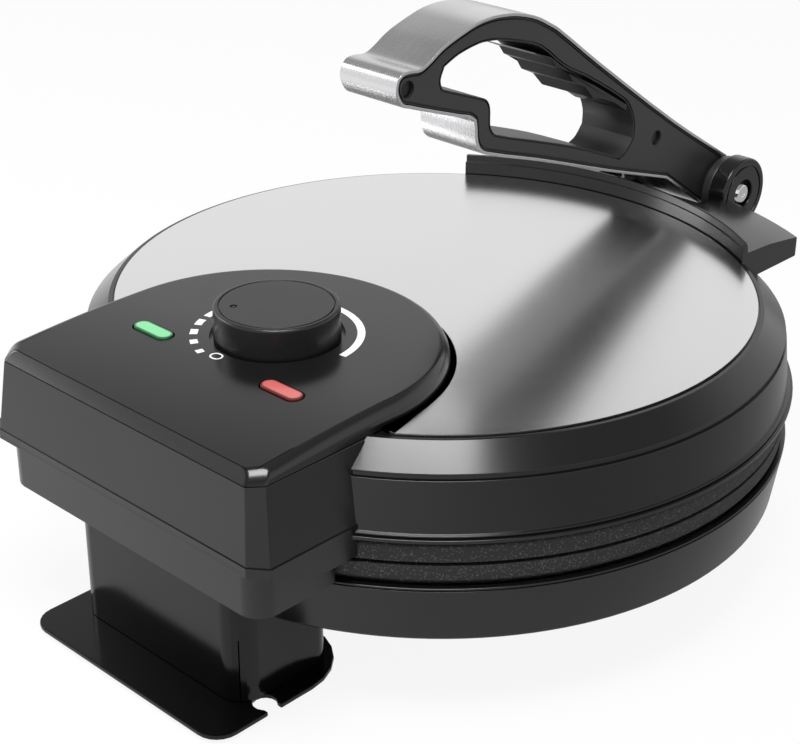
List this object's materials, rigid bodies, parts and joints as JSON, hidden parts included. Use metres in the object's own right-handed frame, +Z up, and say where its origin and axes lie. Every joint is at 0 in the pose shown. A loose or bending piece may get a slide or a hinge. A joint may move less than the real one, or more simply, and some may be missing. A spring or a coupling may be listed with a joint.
{
  "type": "electric roti maker",
  "caption": "Round electric flatbread press with a hinged lid, a folding lever handle, a thermostat knob with two lamps, and a rear leg on a foot plate.",
  "frame": {"origin": "centre of the footprint on the table, under the feet", "axes": "+Z up, +Y towards the control box and rear leg, -Y towards the lever pivot and the user, +X towards the green lamp"},
  "size_m": [0.2684, 0.3373, 0.2025],
  "materials": {
    "black_plastic": "satin black moulding",
    "dark_plastic": "matt black moulding",
    "stainless_steel": "brushed",
    "speckled_coating": "dark speckled non-stick coating on cast aluminium",
    "element_metal": "dull sheathed tube",
    "fittings": "pale heat-resistant moulding",
    "rubber": "matt",
    "green_lens": "translucent lens",
    "red_lens": "translucent lens"
  },
  "bodies": {
    "base": {"base_housing": "black_plastic", "base_screw_left": "stainless_steel", "base_screw_right": "stainless_steel", "base_screw_front": "stainless_steel", "lower_heat_shield": "stainless_steel", "lower_heating_element": "element_metal", "lower_hot_plate": "speckled_coating", "rear_housing": "black_plastic", "rear_housing_cover": "dark_plastic", "terminal_block": "fittings", "hinge_pin_left": "stainless_steel", "hinge_pin_right": "stainless_steel", "rear_leg": "black_plastic", "cord_bush": "rubber", "foot_plate": "black_plastic", "rear_foot_pad_left": "rubber", "rear_foot_pad_right": "rubber", "front_foot_left": "black_plastic", "front_foot_right": "black_plastic", "front_foot_pad_left": "rubber", "front_foot_pad_right": "rubber"},
    "lid": {"lid_housing": "black_plastic", "steel_cover": "stainless_steel", "upper_hot_plate": "speckled_coating", "upper_heating_element": "element_metal", "upper_heat_shield": "stainless_steel", "thermal_fuse": "fittings", "panel_tray": "dark_plastic", "control_panel": "black_plastic", "ready_lens": "green_lens", "power_lens": "red_lens", "ready_lamp": "fittings", "power_lamp": "fittings", "thermostat": "fittings", "lever_bracket": "black_plastic", "bracket_screw_left": "stainless_steel", "bracket_screw_right": "stainless_steel", "pivot_pin": "stainless_steel"},
    "knob": {"knob": "black_plastic", "knob_shaft": "dark_plastic"},
    "lever": {"lever_core": "black_plastic", "lever_strap": "stainless_steel", "finger_grip": "dark_plastic", "lever_nose_screw": "stainless_steel", "lever_body_screw": "stainless_steel"}
  },
  "joints": [
    {"name": "lid_hinge", "type": "hinge", "parent": "base", "child": "lid", "pos_m": [0, 0.15565, 0.0645], "axis": [-1, 0, 0], "range_deg": [0, 90]},
    {"name": "lever_hinge", "type": "hinge", "parent": "lid", "child": "lever", "pos_m": [0, -0.15325, 0.099], "axis": [1, 0, 0], "range_deg": [0, 150]},
    {"name": "knob_turn", "type": "hinge", "parent": "lid", "child": "knob", "pos_m": [0, 0.09105, 0.1062], "axis": [0, 0, -1], "range_deg": [-38, 228]}
  ]
}
